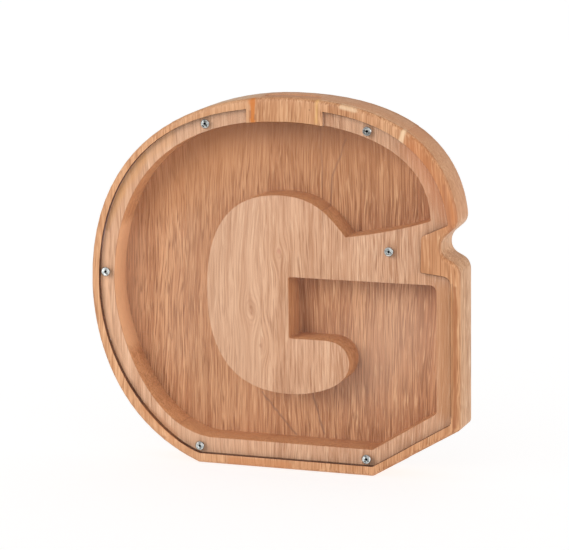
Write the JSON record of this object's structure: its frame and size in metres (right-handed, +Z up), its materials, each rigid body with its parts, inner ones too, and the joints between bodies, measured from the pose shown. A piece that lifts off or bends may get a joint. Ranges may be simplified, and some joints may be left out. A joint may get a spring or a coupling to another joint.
{
  "type": "money box",
  "caption": "Free-standing wooden coin bank shaped as a capital letter, its stroke hollowed out for coins, with a coin slot on top and a clear front cover held by countersunk screws.",
  "frame": {"origin": "middle of the bounding box at its base", "axes": "+X to the reader's right, +Y from the front to the back, +Z up"},
  "size_m": [0.21, 0.024, 0.2035],
  "materials": {
    "wood": "satin clear lacquer over light orange-brown hardwood",
    "acrylic": "clear, polished",
    "steel": "bright plated"
  },
  "bodies": {
    "body": {"stave_1": "wood", "stave_2": "wood", "stave_3": "wood", "stave_4": "wood", "stave_5": "wood"},
    "cover": {"clear_cover": "acrylic"},
    "screw_1": {"screw_1": "steel"},
    "screw_2": {"screw_2": "steel"},
    "screw_3": {"screw_3": "steel"},
    "screw_4": {"screw_4": "steel"},
    "screw_5": {"screw_5": "steel"},
    "screw_6": {"screw_6": "steel"}
  },
  "joints": [
    {"name": "cover_slide", "type": "slide", "parent": "body", "child": "cover", "axis": [0, -1, 0], "range_m": [0, 0.03]},
    {"name": "screw_1_out", "type": "slide", "parent": "cover", "child": "screw_1", "axis": [0, -1, 0], "range_m": [0, 0.014]},
    {"name": "screw_2_out", "type": "slide", "parent": "cover", "child": "screw_2", "axis": [0, -1, 0], "range_m": [0, 0.014]},
    {"name": "screw_3_out", "type": "slide", "parent": "cover", "child": "screw_3", "axis": [0, -1, 0], "range_m": [0, 0.014]},
    {"name": "screw_4_out", "type": "slide", "parent": "cover", "child": "screw_4", "axis": [0, -1, 0], "range_m": [0, 0.014]},
    {"name": "screw_5_out", "type": "slide", "parent": "cover", "child": "screw_5", "axis": [0, -1, 0], "range_m": [0, 0.014]},
    {"name": "screw_6_out", "type": "slide", "parent": "cover", "child": "screw_6", "axis": [0, -1, 0], "range_m": [0, 0.014]}
  ]
}
